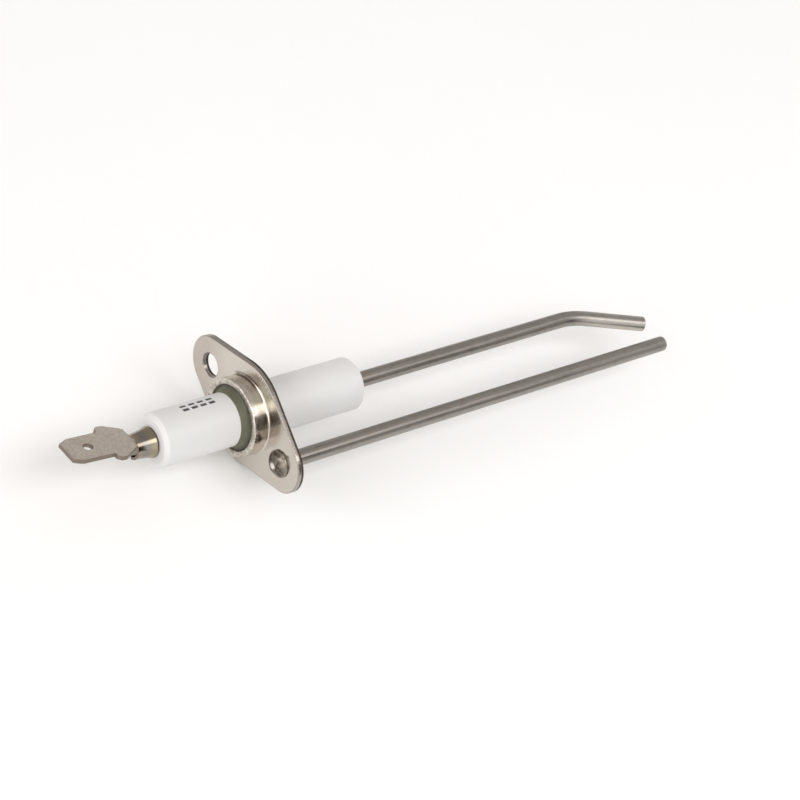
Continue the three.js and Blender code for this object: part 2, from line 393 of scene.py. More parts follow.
def nickel_plate():
    """Satin nickel on pressed sheet, with a painted reflection of the collar's highlight on the
    plate beside it, painted shade in the bend, a painted dark reflection on the collar's wall, and
    cement smeared at its lip."""
    look = Look("nickel_plate", metallic=1.0)
    x, y, _ = look.place_mm()
    radius, angle = look.radius_mm(), look.angle_round_axis()
    plating = look.mix(look.noise(160, detail=3), rgb(0.61, 0.56, 0.505), rgb(0.70, 0.66, 0.605))
    dull = rgb(0.50, 0.435, 0.39)
    for (start, full), strength in zip(DULL_ENDS_Y, (0.75, 0.35)):
        plating = look.mix(look.spread(y, start, full, 0.0, strength), plating, dull)
    ragged = look.noise(700, detail=4, roughness=0.7)

    # Painted reflection: a cream band on the plate beside the collar stands in for the collar's
    # highlight mirrored there.
    start, end = (COLLAR_OUTER_RADIUS + past_wall for past_wall in REFLECTED_HIGHLIGHT_BAND)
    painted_reflection = look.product(
        look.band(angle, *REFLECTED_HIGHLIGHT_ANGLES, soft=14),
        look.band(radius, start, end, soft=1.0),
        look.spread(x, PLATE_FRONT + 0.4, PLATE_FRONT + 0.1),
    )
    plating = look.mix(painted_reflection, plating, rgb(0.84, 0.82, 0.70))

    # Painted shade: the bend at the collar's foot is darkened, raggedly, on its upper side.
    start, end = (COLLAR_OUTER_RADIUS + past_wall for past_wall in BEND_SHADE_BAND)
    painted_bend_shade = look.product(
        look.band(angle, *BEND_SHADE_ANGLES, soft=14),
        look.spread(radius, end, start),
        look.spread(x, PLATE_FRONT - 0.75, PLATE_FRONT - 0.4),
        look.spread(ragged, 0.2, 0.5, 0.55, 0.9),
    )
    plating = look.mix(painted_bend_shade, plating, rgb(0.17, 0.13, 0.10))

    # Painted reflection: a dark band on the collar's wall stands in for dark surroundings mirrored
    # there.
    painted_wall_reflection = look.product(
        look.band(angle, *WALL_DARK_REFLECTION_ANGLES, soft=9),
        look.spread(radius, COLLAR_OUTER_RADIUS + 0.15, COLLAR_OUTER_RADIUS + 0.05),
        look.spread(x, COLLAR_LIP + 0.3, COLLAR_LIP + 0.9),
        look.spread(ragged, 0.35, 0.6, 0.35, 0.8),
    )
    plating = look.mix(painted_wall_reflection, plating, rgb(0.24, 0.195, 0.15))

    smear = look.product(
        look.spread(x, COLLAR_LIP + CEMENT_SMEAR_LENGTH, COLLAR_LIP),
        look.spread(look.noise(1300, detail=4, roughness=0.7), 0.42, 0.66),
        0.75,
    )
    look.colour(look.mix(smear, plating, rgb(0.30, 0.27, 0.20)))
    sheen = look.spread(look.noise(420, detail=4, roughness=0.6), 0.3, 0.7, 0.14, 0.25)
    look.roughness(look.math("ADD", sheen, look.product(smear, 0.3)))
    look.relief(look.noise(130, detail=1), 0.022)
    look.relief(look.noise(3500, detail=3, roughness=0.7), 0.0022)
    return look.material


TEAR_FROM, TEAR_TO = -0.62, -0.34  # X where the burnished part of the flange's edge turns torn
TEAR_WANDER = 0.5  # how far that line wanders
DARK_TEAR_BELOW = 4.0  # Y up to which the outline's tear is darkest
TEAR_FADE = 4.0  # length along Y over which it then pales


def sheared_edge(name, dark_below=None):
    """The punched edge: burnished next to the front face, torn and dark next to the rear one.

    The tear pales where Y is above dark_below. Without it the whole tear is dark.
    """
    look = Look(name, metallic=1.0)
    tears = look.noise(1, detail=3, place=look.stretched(350, 2600, 2600))
    burnished = look.mix(tears, rgb(0.30, 0.27, 0.245), rgb(0.45, 0.41, 0.375))
    x, y, _ = look.place_mm()
    ragged = look.product(look.math("SUBTRACT", tears, 0.5), TEAR_WANDER)
    torn = look.spread(look.math("ADD", x, ragged), TEAR_FROM, TEAR_TO)
    if dark_below is not None:
        low = look.spread(y, dark_below + TEAR_FADE, dark_below, 0.25, 1.0)
        torn = look.product(torn, low)
    look.colour(look.mix(torn, burnished, rgb(0.075, 0.06, 0.05)))
    look.roughness(look.spread(torn, 0.0, 1.0, 0.27, 0.55))
    look.relief(tears, 0.02)
    return look.material


def fired_alumina():
    """White alumina with pores, faint firing tints and two rows of plain ink dashes."""
    look = Look("fired_alumina")
    tint = look.noise(90, detail=3)
    body = look.mix(tint, rgb(0.65, 0.646, 0.642), rgb(0.69, 0.686, 0.682))
    pores = look.spread(look.cells(1900), 0.03, 0.09, 1.0, 0.0)
    scattered = look.spread(look.noise(500, detail=1), 0.56, 0.66)
    body = look.mix(look.product(pores, scattered, 0.5), body, rgb(0.45, 0.41, 0.35))
    look.colour(look.mix(ink_dashes(look), body, rgb(0.035, 0.035, 0.04)))
    look.roughness(look.spread(look.noise(700, detail=3), 0.3, 0.7, 0.34, 0.46))
    look.shader.inputs["Subsurface Weight"].default_value = 0.15
    look.shader.inputs["Subsurface Radius"].default_value = (0.6 * MM, 0.55 * MM, 0.5 * MM)
    look.shader.inputs["Subsurface Scale"].default_value = 1.0
    look.relief(look.noise(260, detail=2), 0.012)
    look.relief(look.noise(5200, detail=2), 0.0015)
    return look.material


# Two rows of dashes along the ceramic, in front of the collar. Angles are in degrees from +Y.
DASH_ROWS = (63.0, 76.0)
DASH_HALF_WIDTH = 3.2
DASH_BLUR = 0.6
DASH_START, DASH_END = -15.4, -8.0
DASH_PITCH = 1.85
DASH_FILL = 0.68


def ink_dashes(look):
    """1 where ink is printed, 0 elsewhere."""
    x, _, _ = look.place_mm()
    angle = look.angle_round_axis()
    upper, lower = (
        look.band(angle, middle - DASH_HALF_WIDTH, middle + DASH_HALF_WIDTH, soft=DASH_BLUR)
        for middle in DASH_ROWS
    )
    pitches = look.math("DIVIDE", look.math("SUBTRACT", x, DASH_START), DASH_PITCH)
    return look.product(
        look.math("ADD", upper, lower),
        look.math("LESS_THAN", look.math("FRACT", pitches), DASH_FILL),
        look.math("GREATER_THAN", x, DASH_START),
        look.math("LESS_THAN", x, DASH_END),
        look.spread(look.noise(2600, detail=3), 0.3, 0.45, 0.8, 1.0),
    )


def olive_cement():
    """Refractory cement, with painted shade that darkens it towards the collar's recess, and with
    grains and dried streaks.
    """
    look = Look("olive_cement")
    # Painted shade: darker towards the collar's bore, where the cement lies in the collar's recess.
    recess_shade = look.spread(look.radius_mm(), CERAMIC_RADIUS, COLLAR_BORE_RADIUS)
    body = look.mix(recess_shade, rgb(0.112, 0.11, 0.069), rgb(0.028, 0.027, 0.017))
    streaks = look.noise(750, detail=4, roughness=0.6)
    body = look.mix(look.spread(streaks, 0.45, 0.75, 0.0, 0.5), body, rgb(0.15, 0.147, 0.10))
    look.colour(body)
    look.roughness(look.spread(look.noise(900, detail=2), 0.3, 0.7, 0.38, 0.6))
    look.shader.inputs["Specular IOR Level"].default_value = 0.4
    look.relief(look.noise(900, detail=4, roughness=0.6), 0.04)
    return look.material


def white_cement():
    """Off-white plug cement, matte and full of pores."""
    look = Look("white_cement")
    body = look.mix(look.noise(800, detail=4), rgb(0.62, 0.59, 0.52), rgb(0.78, 0.76, 0.70))
    pores = look.spread(look.cells(2600), 0.05, 0.14, 0.7, 0.0)
    look.colour(look.mix(pores, body, rgb(0.35, 0.32, 0.27)))
    look.roughness(look.spread(look.noise(1500), 0.3, 0.7, 0.75, 0.95))
    look.relief(look.noise(1800, detail=4, roughness=0.7), 0.08)
    return look.material


TIP_REFLECTION_FROM, TIP_REFLECTION_TO = 77.0, 84.0  # past its bend, the spark rod gets a painted reflection of the floor
BETWEEN_RODS = (-9.5, -8.0)  # Y past the bend, between the earth rod and the spark rod
TIP_REFLECTION_Z = (1.2, 0.4)  # from its darker upper side down to where the painted reflection of the floor is full


def rod_alloy():
    """Drawn heat-resistant wire: lines along the draw, heat tints, and a painted reflection of the
    floor on the spark tip's lower side.
    """
    look = Look("rod_alloy", metallic=1.0)
    lines = look.noise(1, detail=4, roughness=0.65, place=look.stretched(55, 4200, 4200))
    tint = look.noise(60, detail=2)
    body = look.mix(lines, rgb(0.24, 0.222, 0.205), rgb(0.38, 0.357, 0.335))
    blotches = look.spread(look.noise(700, detail=4, roughness=0.65), 0.45, 0.7, 0.0, 0.5)
    body = look.mix(blotches, body, rgb(0.22, 0.195, 0.165))
    body = look.mix(look.spread(tint, 0.45, 0.75, 0.0, 0.3), body, rgb(0.36, 0.32, 0.28))
    x, y, z = look.place_mm()
    # Painted reflection of the floor: lighter on the lower side of the spark tip, past its bend.
    painted_reflection = look.product(
        look.spread(x, TIP_REFLECTION_FROM, TIP_REFLECTION_TO, 0.0, 0.8),
        look.spread(y, *BETWEEN_RODS),
        look.spread(z, *TIP_REFLECTION_Z, 0.25, 1.0),
    )
    look.colour(look.mix(painted_reflection, body, rgb(0.55, 0.515, 0.475)))
    look.roughness(look.spread(lines, 0.25, 0.75, 0.26, 0.40))
    look.relief(lines, 0.008)
    look.relief(look.noise(1600, detail=3), 0.006)
    return look.material


HIGHLIGHT_SPOT_RADII = (0.75, 1.15)  # of the painted highlight spot in the head's middle, full and gone
WORN_RIM_RADII = (2.25, 2.5)  # of the head's rubbed edge, gone and full


def staked_head():
    """The upset head: dark, blotchy scale, with a painted highlight spot in its middle."""
    look = Look("staked_head", metallic=1.0)
    away = look.radius_mm(centre_y=-HOLE_OFFSET)
    blotches = look.noise(900, detail=4, roughness=0.65)
    dirt = look.spread(blotches, 0.35, 0.65)
    scale = look.mix(dirt, rgb(0.07, 0.058, 0.045), rgb(0.24, 0.21, 0.175))
    worn_rim = look.spread(away, *WORN_RIM_RADII, 0.0, 0.5)
    scale = look.mix(worn_rim, scale, rgb(0.42, 0.38, 0.33))
    # Painted highlight: a bright, ragged spot in the middle of the head.
    ragged = look.math("ADD", away, look.product(blotches, 0.7))
    painted_highlight = look.spread(ragged, *HIGHLIGHT_SPOT_RADII, 1.0, 0.0)
    look.colour(look.mix(painted_highlight, scale, rgb(0.80, 0.76, 0.70)))
    look.roughness(look.spread(blotches, 0.3, 0.7, 0.2, 0.42))
    look.relief(look.noise(520, detail=3, roughness=0.6), 0.10)
    return look.material


# Where the terminal's looks change, along X from the barrel's front or rear end.
BURNISHED_FROM_FRONT = (-1.2, 0.3)
STRAINED_FROM_FRONT = (1.4, 0.0)
BRASSY_FROM_REAR = (-2.2, -0.4)


def tab_metal():
    """Nickel-plated strip: matte and grainy on the blade, burnished and brassy on the barrel."""
    look = Look("tab_metal", metallic=1.0)
    x, _, _ = look.place_mm()
    grain = look.noise(2400, detail=4, roughness=0.7)
    coarse = look.spread(grain, 0.3, 0.7)
    blade = look.mix(coarse, rgb(0.53, 0.48, 0.425), rgb(0.72, 0.66, 0.59))
    stains = look.spread(look.noise(620, detail=3, roughness=0.6), 0.48, 0.66, 0.0, 0.5)
    blade = look.mix(stains, blade, rgb(0.56, 0.47, 0.39))

    formed = look.spread(x, *(BARREL_FRONT + offset for offset in BURNISHED_FROM_FRONT))
    brassy = look.spread(x, *(BARREL_REAR + offset for offset in BRASSY_FROM_REAR))
    barrel = look.mix(brassy, rgb(0.25, 0.233, 0.212), rgb(0.32, 0.275, 0.19))
    strained = look.spread(x, *(BARREL_FRONT + offset for offset in STRAINED_FROM_FRONT))
    barrel = look.mix(look.product(formed, strained, 0.6), barrel, rgb(0.42, 0.29, 0.20))
    look.colour(look.mix(formed, blade, barrel))

    flat = look.math("SUBTRACT", 1.0, formed)
    matte = look.product(look.spread(grain, 0.3, 0.7, 0.36, 0.5), flat)
    burnished = look.product(look.spread(grain, 0.3, 0.7, 0.1, 0.2), formed)
    look.roughness(look.math("ADD", matte, burnished))
    look.relief(grain, 0.006)
    look.relief(look.noise(500, detail=3), 0.02)
    return look.material


def tab_sheared_edge():
    """The terminal's cut edges: bare dark strip under thin torn plating."""
    look = Look("tab_sheared_edge", metallic=1.0)
    tears = look.noise(2200, detail=4, roughness=0.65)
    look.colour(look.mix(tears, rgb(0.15, 0.12, 0.10), rgb(0.34, 0.28, 0.24)))
    look.roughness(look.spread(tears, 0.3, 0.7, 0.4, 0.6))
    look.relief(tears, 0.02)
    return look.material


# ---------------------------------------------------------------------------------------------
# Mounting flange

OUTLINE_STEPS = 40
RING_SIDES = 128
HOLE_SIDES = 64


def with_normals(loop, hole):
    """Points of a closed anticlockwise loop with the direction that points out of the metal."""
    count = len(loop)
    pairs = []
    for i, here in enumerate(loop):
        along = (loop[(i + 1) % count] - loop[i - 1]).normalized()
        out = Vector((along.y, -along.x))
        pairs.append((here, -out if hole else out))
    return pairs


def circle(centre_x, centre_y, radius, sides):
    return arc(centre_x, centre_y, radius, 0, 360, sides)[:-1]


def edge_profile(thickness, front_round, rear_round, steps=4):
    """(height, inset) points across a sheet's edge, from its front face at 0 to its rear face."""
    front = arc(front_round, front_round, front_round, 180, 270, steps)
    rear = arc(thickness - rear_round, rear_round, rear_round, 270, 360, steps)
    return [(p.x, p.y) for p in front + rear]


def sheet_edge(surface, loop, hole, profile, place, finish):
    """Builds the wall of a sheet round one loop, and gives its front and rear rings."""
    directed = with_normals(loop, hole)
    rings = [
        surface.ring([place(point - out * inset, height) for point, out in directed])
        for height, inset in profile
    ]
    for ring, follower in zip(rings, rings[1:]):
        surface.bridge(ring, follower, finish)
    return rings[0], rings[-1]


def plate_outline():
    """The rhombic outline in (y, z), anticlockwise: two small end arcs and two wide middle ones."""
    tangent = math.degrees(math.acos((MIDDLE_RADIUS - END_RADIUS) / HOLE_OFFSET))
    return [
        *arc(HOLE_OFFSET, 0, END_RADIUS, -tangent, tangent, OUTLINE_STEPS),
        *arc(0, 0, MIDDLE_RADIUS, tangent, 180 - tangent, OUTLINE_STEPS),
        *arc(-HOLE_OFFSET, 0, END_RADIUS, 180 - tangent, 180 + tangent, OUTLINE_STEPS),
        *arc(0, 0, MIDDLE_RADIUS, 180 + tangent, 360 - tangent, OUTLINE_STEPS),
    ]


def collar_profile():
    """(x, radius) from the plate's front face, over the collar's lip, to its rear face."""
    bend_x = PLATE_FRONT - BEND_RADIUS
    bend_r = COLLAR_OUTER_RADIUS + BEND_RADIUS
    lip_x = COLLAR_LIP + LIP_ROUND
    return [
        *arc(bend_x, bend_r, BEND_RADIUS, 0, -90, 8),
        *arc(lip_x, COLLAR_OUTER_RADIUS - LIP_ROUND, LIP_ROUND, 90, 180, 6),
        *arc(lip_x, COLLAR_BORE_RADIUS + LIP_ROUND, LIP_ROUND, 180, 270, 6),
        *arc(bend_x, bend_r, BEND_RADIUS + THICKNESS, -90, 0, 10),
    ]


def mounting_flange():
    surface = Surface()
    profile = edge_profile(THICKNESS, ROLLOVER, BURR_EDGE)

    def place(point, height):
        return (PLATE_FRONT + height, point.x, point.y)

    def edge(loop, hole):
        return sheet_edge(surface, loop, hole, profile, place, 2 if hole else 1)

    earth_hole_radius = ROD_RADIUS + EARTH_HOLE_CLEARANCE
    collar = surface.lathe(collar_profile(), RING_SIDES, closed=False)
    edges = [
        edge(plate_outline(), False),
        edge(circle(HOLE_OFFSET, 0, SCREW_HOLE_RADIUS, HOLE_SIDES), True),
        edge(circle(-HOLE_OFFSET, 0, earth_hole_radius, HOLE_SIDES), True),
        (collar[0], collar[-1]),
    ]
    surface.fill([front for front, rear in edges])
    surface.fill([rear for front, rear in edges])
    piece(
        "pressed_flange",
        surface,
        "mounting_flange",
        [
            nickel_plate(),
            sheared_edge("sheared_edge", dark_below=DARK_TEAR_BELOW),
            sheared_edge("punched_hole"),
        ],
    )


# ---------------------------------------------------------------------------------------------
# Ceramic insulator

CHAMFER = 0.7
BORE_RADIUS = 1.9
COUNTERBORE_RADIUS = 2.6
COUNTERBORE_DEPTH = 4.0
MOUTH_ROUND = 0.15  # of the counterbores' mouths
END_ROUND, CHAMFER_ROUND = 0.2, 0.25  # of the chamfers, at the end face and at the side


def ceramic_insulator():
    near, far = ceramic_low.x, ceramic_high.x
    corners = [
        (near, COUNTERBORE_RADIUS, MOUTH_ROUND),
        (near + COUNTERBORE_DEPTH, COUNTERBORE_RADIUS, 0),
        (near + COUNTERBORE_DEPTH, BORE_RADIUS, 0),
        (far - COUNTERBORE_DEPTH, BORE_RADIUS, 0),
        (far - COUNTERBORE_DEPTH, COUNTERBORE_RADIUS, 0),
        (far, COUNTERBORE_RADIUS, MOUTH_ROUND),
        (far, CERAMIC_RADIUS - CHAMFER, END_ROUND),
        (far - CHAMFER, CERAMIC_RADIUS, CHAMFER_ROUND),
        (near + CHAMFER, CERAMIC_RADIUS, CHAMFER_ROUND),
        (near, CERAMIC_RADIUS - CHAMFER, END_ROUND),
    ]
    surface = Surface()
    surface.lathe(rounded(corners), RING_SIDES)
    piece("ceramic_tube", surface, "ceramic_insulator", [fired_alumina()])


# ---------------------------------------------------------------------------------------------
# Cements

CEMENT_BITE = 0.02  # how far the collar's cement reaches into its neighbours
CEMENT_FOOT = 0.3  # from the collar's lip back to where the fillet starts
CEMENT_HOLLOW = (0.35, 0.15)  # how far the fillet's bend is from its foot, and from the ceramic
CEMENT_REAR_TAPER = (1.4, 0.1)  # length and height of the spread at its rear end
CEMENT_WANDER = ((0.10, 3.1, 1.3), (0.03, 8.4, 3))  # of the fillet's edge, along the ceramic
CEMENT_EDGE_GROWTH = 0.02  # how far that edge may pass the CAD's
CEMENT_SWELL = ((0.05, 5.7, 1.6), (0.02, 1.3, 5))  # of the fillet's face
PLUG_ROD_GAP, PLUG_BORE_GAP = 0.01, 0.02
PLUG_SAG = 0.35
PLUG_ROUGHNESS = 0.08


def uneven(x, angle, seed, scale):
    """Smooth noise from about -1 to 1 round a ring."""
    return noise.noise(
        Vector((x * scale * 0.5 + seed, math.cos(angle) * scale, math.sin(angle) * scale))
    )


def layered(x, angle, layers):
    """A sum of uneven noise in layers of (size, seed, scale)."""
    return sum(size * uneven(x, angle, seed, scale) for size, seed, scale in layers)


def collar_cement():
    inner = CERAMIC_RADIUS - CEMENT_BITE
    outer = COLLAR_BORE_RADIUS + CEMENT_BITE
    foot_x, tip_x, rear_x = COLLAR_LIP + CEMENT_FOOT, cement_low.x, cement_high.x
    tip = Vector((tip_x, inner))
    bend = Vector((foot_x - CEMENT_HOLLOW[0], inner + CEMENT_HOLLOW[1]))
    foot = Vector((foot_x, outer))
    steps = 16
    hollow = [quadratic(tip, bend, foot, i / steps) for i in range(steps + 1)]
    taper_length, taper_height = CEMENT_REAR_TAPER
    rear = [(rear_x - taper_length, outer), (rear_x, outer + taper_height), (rear_x, inner)]

    def slump(x, radius, angle):
        """The fillet's edge wanders along the ceramic and its face is lumpy."""
        if x > foot_x:
            return x, radius
        free = (foot_x - x) / (foot_x - tip_x)
        middle = 4 * free * (1 - free)
        wander = max(layered(0, angle, CEMENT_WANDER), -CEMENT_EDGE_GROWTH)
        return x + wander * free, radius + layered(x, angle, CEMENT_SWELL) * middle

    surface = Surface()
    surface.lathe(hollow + rear, RING_SIDES, move=slump)
    piece("collar_cement_fillet", surface, "collar_cement", [olive_cement()])


def bore_plug(name, node, look):
    """A plug whose two ends sag between the rod and the bore."""
    low, high = cad_box(node)
    inner, outer = ROD_RADIUS + PLUG_ROD_GAP, COUNTERBORE_RADIUS - PLUG_BORE_GAP
    steps = 6
    across = [inner + (outer - inner) * i / steps for i in range(steps + 1)]

    def sag(radius):
        t = (radius - inner) / (outer - inner)
        return PLUG_SAG * 4 * t * (1 - t)

    profile = [(low.x + sag(r), r) for r in across]
    profile += [(high.x - sag(r), r) for r in reversed(across)]

    def rough(x, radius, angle):
        inward = 1 if x < (low.x + high.x) / 2 else -1
        return x + inward * PLUG_ROUGHNESS * abs(uneven(x, angle, radius, 5)), radius

    surface = Surface()
    surface.lathe(profile, HOLE_SIDES, move=rough)
    piece(name, surface, node, [look])


# ---------------------------------------------------------------------------------------------
# Rods

BEND_VERTEX = 79.0
BEND_ANGLE = math.radians(23)
SPARK_BEND_RADIUS = 16.0
CUT_EDGE = 0.09

HEAD_RIM = 0.3  # height of the earth rod's head at its edge
HEAD_RIM_ROUND = 0.12
HEAD_UNDERCUT = 0.04  # how much smaller the head is where it meets the sheet
CROWN_POWERS = (1.8, 0.8)  # of the dome's profile
HEAD_LUMP = 0.30  # how far the staking punch pushes the crown in
HEAD_OUT_OF_ROUND = 0.06  # share of the radius
SHOULDER_RADIUS, SHOULDER_LENGTH = 2.2, 0.9
SHEET_GAP = 0.02  # between the sheet and the head or the shoulder
EARTH_TIP_ROUND = 0.55


def spark_rod(look):
    surface = Surface()
    outward = Vector((math.cos(BEND_ANGLE), -math.sin(BEND_ANGLE), 0))
    tangent_length = SPARK_BEND_RADIUS * math.tan(BEND_ANGLE / 2)
    tip_length = (spark_high.x - BEND_VERTEX - ROD_RADIUS * math.sin(BEND_ANGLE)) / outward.x
    stations = [(Vector((spark_low.x, 0, 0)), 0.0)]
    bend_steps = 28
    for i in range(bend_steps + 1):
        angle = BEND_ANGLE * i / bend_steps
        x = BEND_VERTEX - tangent_length + SPARK_BEND_RADIUS * math.sin(angle)
        stations.append((Vector((x, -SPARK_BEND_RADIUS * (1 - math.cos(angle)), 0)), angle))
    stations.append((Vector((BEND_VERTEX, 0, 0)) + outward * tip_length, BEND_ANGLE))

    def ring_at(centre, angle, radius, shift=0.0):
        along = Vector((math.cos(angle), -math.sin(angle), 0))
        side = Vector((math.sin(angle), math.cos(angle), 0))
        points = []
        for i in range(HOLE_SIDES):
            turn = TAU * i / HOLE_SIDES
            offset = side * math.cos(turn) + Vector((0, 0, math.sin(turn)))
            points.append(centre + along * shift + offset * radius)
        return surface.ring(points)

    def rounded_end(centre, angle, direction):
        """Rings of a cut end, from its middle outwards."""
        rings = [surface.ring([centre]), ring_at(centre, angle, ROD_RADIUS / 2)]
        edge_steps = 3
        for i in range(edge_steps + 1):
            turn = math.radians(90 * i / edge_steps)
            radius = ROD_RADIUS - CUT_EDGE * (1 - math.sin(turn))
            shift = -direction * CUT_EDGE * (1 - math.cos(turn))
            rings.append(ring_at(centre, angle, radius, shift))
        return rings

    first_end = rounded_end(*stations[0], -1)
    last_end = rounded_end(*stations[-1], 1)
    middle = [ring_at(centre, angle, ROD_RADIUS) for centre, angle in stations[1:-1]]
    rings = first_end + middle + last_end[::-1]
    for ring, follower in zip(rings, rings[1:]):
        surface.bridge(ring, follower)
    piece("bent_spark_rod", surface, "spark_electrode", [look])


def earth_rod(look):
    """Straight rod with a domed head staked over the flange and a shoulder behind it."""
    head_radius = earth_high.z
    head_top, crown_foot = earth_low.x, PLATE_FRONT - HEAD_RIM
    inner_power, outer_power = CROWN_POWERS
    crown_steps = 20
    crown = []
    for i in range(crown_steps):
        across = i / crown_steps
        rise = (crown_foot - head_top) * (1 - across**inner_power) ** outer_power
        crown.append(Vector((crown_foot - rise, head_radius * across)))
    shoulder_rear = SHEET_GAP + SHOULDER_LENGTH
    body = rounded(
        [
            (crown_foot, head_radius, 0),
            (PLATE_FRONT - SHEET_GAP, head_radius - HEAD_UNDERCUT, HEAD_RIM_ROUND),
            (PLATE_FRONT - SHEET_GAP, ROD_RADIUS, 0),
            (SHEET_GAP, ROD_RADIUS, 0),
            (SHEET_GAP, SHOULDER_RADIUS, 0.1),
            (shoulder_rear, SHOULDER_RADIUS, 0.2),
            (shoulder_rear, ROD_RADIUS, 0.1),
            (earth_high.x, ROD_RADIUS, EARTH_TIP_ROUND),
            (earth_high.x, 0, 0),
        ],
        closed=False,
    )

    def hammered(x, radius, angle):
        """The staking punch leaves the head a little lumpy."""
        if x > crown_foot:
            return x, radius
        edge = radius / head_radius
        lump = abs(uneven(0, angle, 2.6 + 0.25 * radius, 1.5 * edge)) * (1 - edge**4)
        dent = abs(uneven(0, angle, 4.4, 1.2)) * edge
        return x + HEAD_LUMP * lump, radius * (1 - HEAD_OUT_OF_ROUND * dent)

    surface = Surface()
    profile = crown + body
    surface.lathe(profile, HOLE_SIDES, centre_y=-HOLE_OFFSET, closed=False, move=hammered)
    for i, face in enumerate(surface.faces):
        if all(surface.points[corner].x < PLATE_FRONT for corner in face):
            surface.finishes[i] = 1
    piece("staked_earth_rod", surface, "earth_electrode", [look, staked_head()])


# ---------------------------------------------------------------------------------------------
# Tab terminal: drawn as a flat stamping, then its barrel is rolled round the rod

tab_normal = Vector(mount("tab_face")["axis"])
BLADE_PITCH = math.asin(tab_normal.x)
TERMINAL_ROLL = math.atan2(-tab_normal.y, tab_normal.z)

BLADE_HALF_WIDTH = 3.15
BLADE_THICKNESS = 0.8
BARREL_WALL = 0.5
BARREL_BORE_GAP = 0.3
BARREL_MID_RADIUS = ROD_RADIUS + BARREL_BORE_GAP + BARREL_WALL / 2
BARREL_FRONT = -25.5
BARREL_REAR = terminal_high.x
BARREL_LENGTH = BARREL_REAR - BARREL_FRONT
FLARE, FLARE_POWER = 0.6, 1.7  # how far the barrel opens towards its rear, and how late
SEAM = 0.4
NECK_LENGTH = 5.7  # from the barrel to the stop shoulders
NECK_HALF_WIDTH = 1.75  # where it joins the barrel
NECK_FLAT_FROM, NECK_FLAT_HALF_WIDTH = 0.55, 2.55  # past the join, where the sheet is flat again
LUG_FROM, LUG_TO, LUG_HALF_WIDTH = 3.9, 5.0, 4.5
STOP_HALF_WIDTH = 3.8
BLADE_LENGTH = 8.0
TIP_TAPER_LENGTH, TIP_TAPER_WIDTH = 1.9, 0.8
TIP = NECK_LENGTH + BLADE_LENGTH
LEAD_IN_LENGTH, LEAD_IN_THICKNESS = 0.9, 0.75  # the tip's thickness as a share of the blade's
THINNED_TO_FULL = (-0.3, 2.0)  # past the join: the barrel's thin wall ends, the blade's starts
NECK_FORMED = 3.0  # past the join, where the sheet stops changing shape
DETENT_RADIUS = 0.85
DETENT_FROM_TIP = 4.4
DETENT_SIDES = 40
TAB_ROLLOVER, TAB_BURR_EDGE = 0.12, 0.06
ALMOST_FLAT = 1e-3  # share of the barrel's curvature left in the blade
STRIP_ACROSS, STRIP_ALONG, STRIP_LEAD_IN = 0.21, 0.19, 0.15  # widths that the flat is cut into


def stamping_outline():
    """The flat pattern in (distance from the barrel towards the tip, across), anticlockwise."""
    wing = math.pi * BARREL_MID_RADIUS - SEAM / 2
    half = [
        (-BARREL_LENGTH, wing, 0.25),
        (0, wing, 0.35),
        (0, NECK_HALF_WIDTH, 0.1),
        (NECK_FLAT_FROM, NECK_FLAT_HALF_WIDTH, 0.3),
        (LUG_FROM, LUG_HALF_WIDTH, 0.35),
        (LUG_TO, LUG_HALF_WIDTH, 0.25),
        (NECK_LENGTH, STOP_HALF_WIDTH, 0.15),
        (NECK_LENGTH, BLADE_HALF_WIDTH, 0.12),
        (TIP - TIP_TAPER_LENGTH, BLADE_HALF_WIDTH, 0.6),
        (TIP, BLADE_HALF_WIDTH - TIP_TAPER_WIDTH, 0.3),
    ]
    mirrored = [(along, -across, fillet) for along, across, fillet in half]
    return rounded([*mirrored, *reversed(half)], steps=4)


def rolled(along, across, height):
    """Where a point of the flat stamping goes once it is formed."""
    rolled_down = 1 - smoothstep(*THINNED_TO_FULL, along)
    thin = 1 - (1 - BARREL_WALL / BLADE_THICKNESS) * rolled_down
    from_tip = smoothstep(0, LEAD_IN_LENGTH, TIP - along)
    lead_in = LEAD_IN_THICKNESS + (1 - LEAD_IN_THICKNESS) * from_tip
    height *= thin * lead_in
    curl = 1 - smoothstep(0, NECK_FLAT_FROM, along)
    radius = BARREL_MID_RADIUS / max(curl, ALMOST_FLAT)
    angle = across / radius
    back = max(-along, 0) / BARREL_LENGTH
    reach = radius + height + FLARE * back**FLARE_POWER
    y = reach * math.sin(angle)
    z = reach * math.cos(angle) - radius + BARREL_MID_RADIUS
    if along > 0:
        x = BARREL_FRONT - along * math.cos(BLADE_PITCH) + height * math.sin(BLADE_PITCH)
        z += along * math.sin(BLADE_PITCH)
    else:
        x = BARREL_FRONT - along
    return Vector((x, y, z))


def cut_into_strips(mesh, direction, start, end, pitch):
    """Cuts the mesh across one direction, so that it can be bent smoothly."""
    for i in range(int((end - start) / pitch) + 1):
        everything = mesh.verts[:] + mesh.edges[:] + mesh.faces[:]
        spot = Vector(direction) * (start + i * pitch)
        bmesh.ops.bisect_plane(mesh, geom=everything, plane_co=spot, plane_no=direction)


